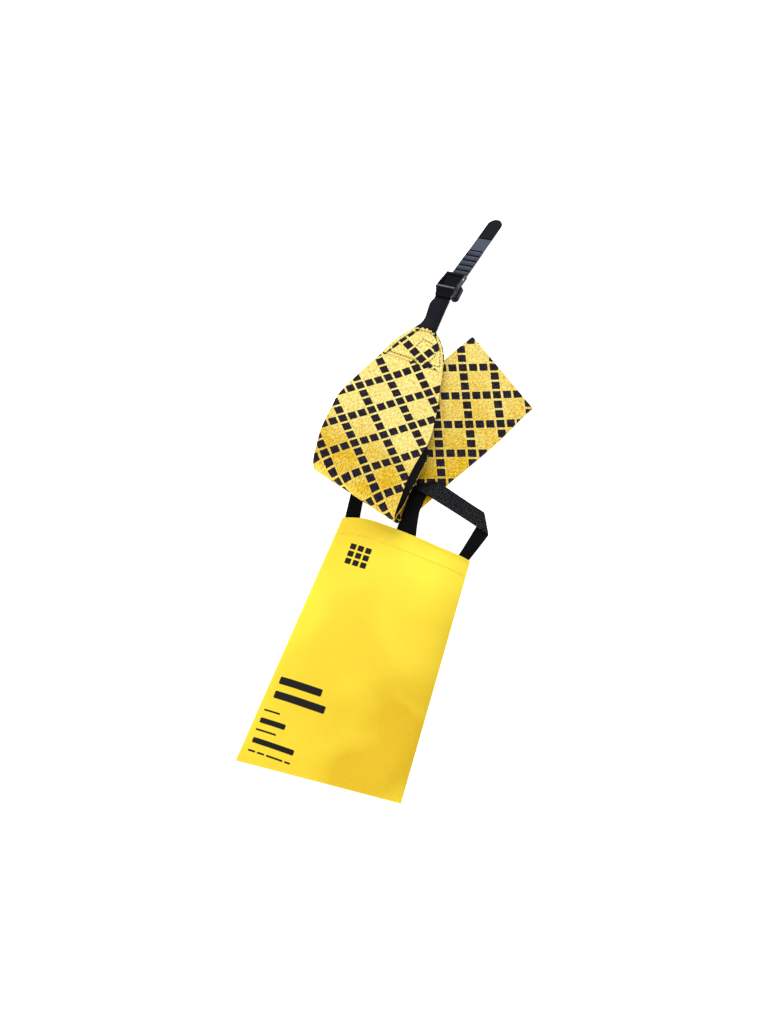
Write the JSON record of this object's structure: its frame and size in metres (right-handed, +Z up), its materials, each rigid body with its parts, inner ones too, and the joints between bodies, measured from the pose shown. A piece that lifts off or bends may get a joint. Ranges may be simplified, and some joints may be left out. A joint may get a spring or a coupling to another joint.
{
  "type": "climbing skin with storage bag",
  "caption": "Ski climbing skin folded glue to glue, with a rubber tail strap, cam buckle and hook, lying at the mouth of its flat handled storage bag.",
  "frame": {"origin": "middle of the whole object's footprint, on the surface it lies on", "axes": "+Y from the bag towards the skin's tail strap, +Z up from the table, +X to the right seen from above with the strap away from the viewer"},
  "size_m": [0.2382, 0.7902, 0.0384],
  "materials": {
    "bag_fabric": "bright yellow coated fabric, slightly glossy",
    "printed_plush": "golden yellow short plush with a near-black print",
    "glue_backing": "black adhesive on a woven membrane, satin",
    "webbing": "black woven webbing, matte",
    "strap_rubber": "blue-black smooth rubber, satin",
    "buckle_plastic": "black moulded plastic, glossy",
    "steel": "plain steel wire and rivets, satin",
    "yellow_thread": "yellow sewing thread",
    "dark_thread": "dark sewing thread"
  },
  "bodies": {
    "root": {"bag_back_panel": "bag_fabric", "bag_front_panel": "bag_fabric", "front_hem": "bag_fabric", "back_hem": "bag_fabric", "hem_stitching": "yellow_thread", "front_handle_tabs": "webbing", "rear_handle": "webbing", "tail_plush_base": "printed_plush", "tail_glue_base": "glue_backing", "tip_glue_base": "glue_backing", "tip_plush_base": "printed_plush"},
    "skin_flap": {"tail_plush_flap": "printed_plush", "tail_glue_flap": "glue_backing", "tip_glue_flap": "glue_backing", "tip_plush_flap": "printed_plush", "tail_patch": "printed_plush", "tail_patch_stitching": "dark_thread", "tip_tab": "webbing", "tip_rivets": "steel", "strap_root": "strap_rubber"},
    "tip_loop": {"tip_loop": "steel"},
    "strap": {"tail_strap": "strap_rubber", "ladder_strap": "strap_rubber"},
    "buckle": {"buckle_frame": "buckle_plastic", "cam_pin": "steel"},
    "lever": {"cam_lever": "buckle_plastic"},
    "front_handle": {"front_handle": "webbing"}
  },
  "joints": [
    {"name": "flap_lift", "type": "hinge", "parent": "root", "child": "skin_flap", "pos_m": [-0.05191, -0.03458, 0.0388], "axis": [0.9603, -0.279, 0], "range_deg": [0, 60]},
    {"name": "tip_loop_swivel", "type": "hinge", "parent": "skin_flap", "child": "tip_loop", "pos_m": [-0.04381, 0.15292, 0.0102], "axis": [1, 0, 0], "range_deg": [-60, 0]},
    {"name": "strap_bend", "type": "hinge", "parent": "skin_flap", "child": "strap", "pos_m": [-0.04381, 0.20292, 0.0132], "axis": [1, 0, 0], "range_deg": [0, 50]},
    {"name": "buckle_slide", "type": "slide", "parent": "strap", "child": "buckle", "axis": [0.23, 0.9732, -0.0051], "range_m": [-0.004, 0.07]},
    {"name": "cam_lever_tilt", "type": "hinge", "parent": "buckle", "child": "lever", "pos_m": [-0.03199, 0.28657, 0.01472], "axis": [-0.8747, 0.2045, -0.4394], "range_deg": [0, 75]},
    {"name": "front_handle_swing", "type": "hinge", "parent": "root", "child": "front_handle", "pos_m": [0.02219, -0.07223, 0.0123], "axis": [0.997, 0, -0.0774], "range_deg": [0, 120]}
  ]
}
